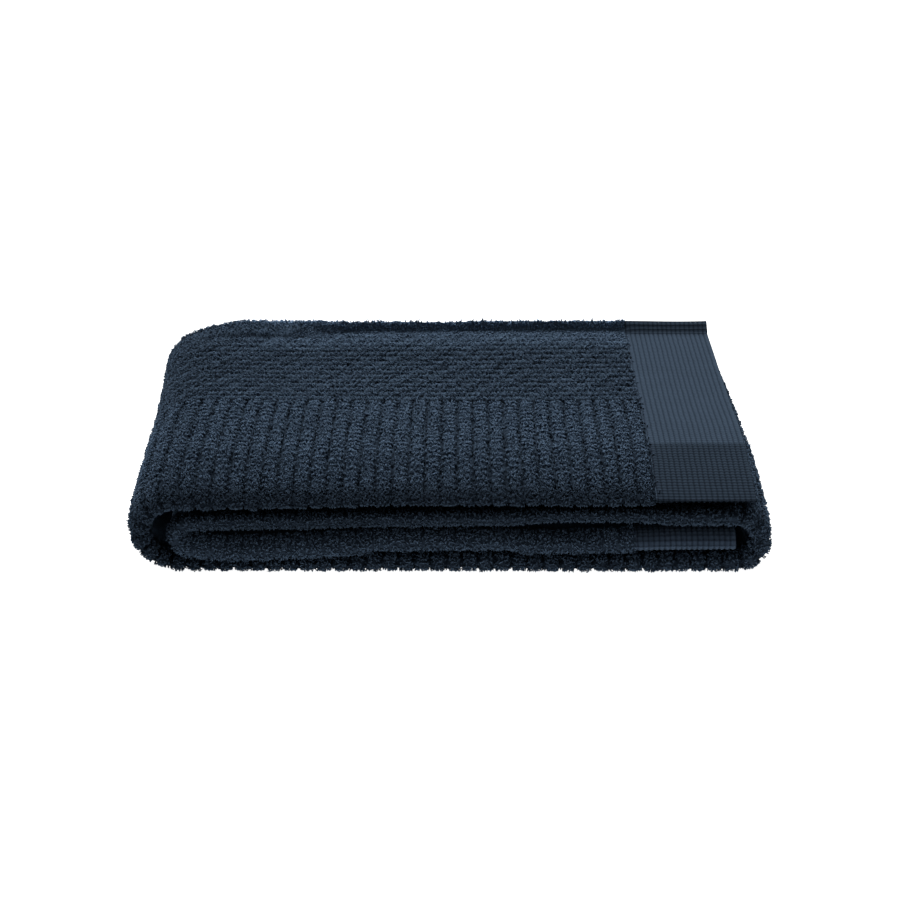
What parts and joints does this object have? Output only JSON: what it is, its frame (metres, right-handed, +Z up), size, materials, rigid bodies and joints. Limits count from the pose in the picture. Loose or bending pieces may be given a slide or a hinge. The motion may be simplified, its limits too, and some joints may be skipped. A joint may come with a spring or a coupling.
{
  "type": "folded bath towel",
  "caption": "Ribbed terry bath towel with a flat woven band at each end, folded into a soft rectangular pile of layers for a shelf.",
  "frame": {"origin": "on the surface that the towel rests on, under the middle of the folded towel", "axes": "+Z up, +X to the right along the front fold, towards the end band on top, +Y back from the front fold"},
  "size_m": [0.372, 0.3552, 0.0597],
  "materials": {
    "terry": "soft matt cotton loop pile in dark navy, ribbed, with flat woven end bands of the same colour"
  },
  "bodies": {
    "root": {"towel": "terry"}
  },
  "joints": []
}
